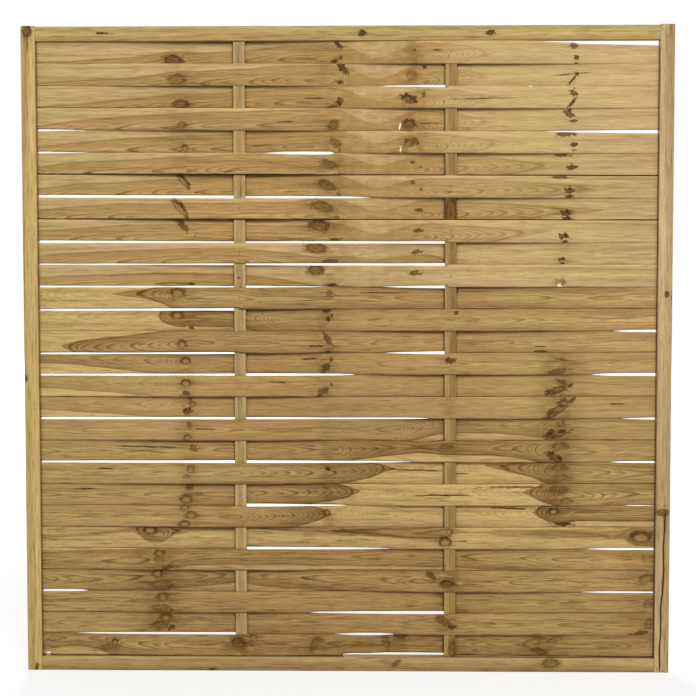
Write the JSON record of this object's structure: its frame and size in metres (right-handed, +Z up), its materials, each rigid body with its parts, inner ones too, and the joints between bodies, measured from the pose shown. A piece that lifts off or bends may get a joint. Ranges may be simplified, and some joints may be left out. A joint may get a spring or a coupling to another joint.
{
  "type": "woven slat fence panel",
  "caption": "Square softwood fence panel: thin sawn slats woven in front of and behind two upright battens, with their ends held in a grooved frame.",
  "frame": {"origin": "on the ground under the middle of the panel, halfway through its depth", "axes": "+X to the right seen from the front, -Y out of the front face, +Z up along the stiles"},
  "size_m": [1.8, 0.04, 1.8],
  "materials": {
    "frame_wood": "planed softwood with a yellow-green preservative tint, knots and eased arrises",
    "batten_wood": "planed softwood with eased arrises",
    "slat_wood": "sawn softwood with knots, heartwood tongues and resin slits",
    "staple_steel": "dulled galvanised wire",
    "nail_steel": "dulled galvanised steel with a little rust"
  },
  "bodies": {
    "root": {"left_stile": "frame_wood", "right_stile": "frame_wood", "top_rail": "frame_wood", "bottom_rail": "frame_wood", "left_batten": "batten_wood", "right_batten": "batten_wood", "slat_staples": "staple_steel", "corner_nails": "nail_steel", "slat_01": "slat_wood", "slat_02": "slat_wood", "slat_03": "slat_wood", "slat_04": "slat_wood", "slat_05": "slat_wood", "slat_06": "slat_wood", "slat_07": "slat_wood", "slat_08": "slat_wood", "slat_09": "slat_wood", "slat_10": "slat_wood", "slat_11": "slat_wood", "slat_12": "slat_wood", "slat_13": "slat_wood", "slat_14": "slat_wood", "slat_15": "slat_wood", "slat_16": "slat_wood", "slat_17": "slat_wood", "slat_18": "slat_wood", "slat_19": "slat_wood", "slat_20": "slat_wood", "slat_21": "slat_wood", "slat_22": "slat_wood", "slat_23": "slat_wood", "slat_24": "slat_wood", "slat_25": "slat_wood", "slat_26": "slat_wood", "slat_27": "slat_wood", "slat_28": "slat_wood"}
  },
  "joints": []
}
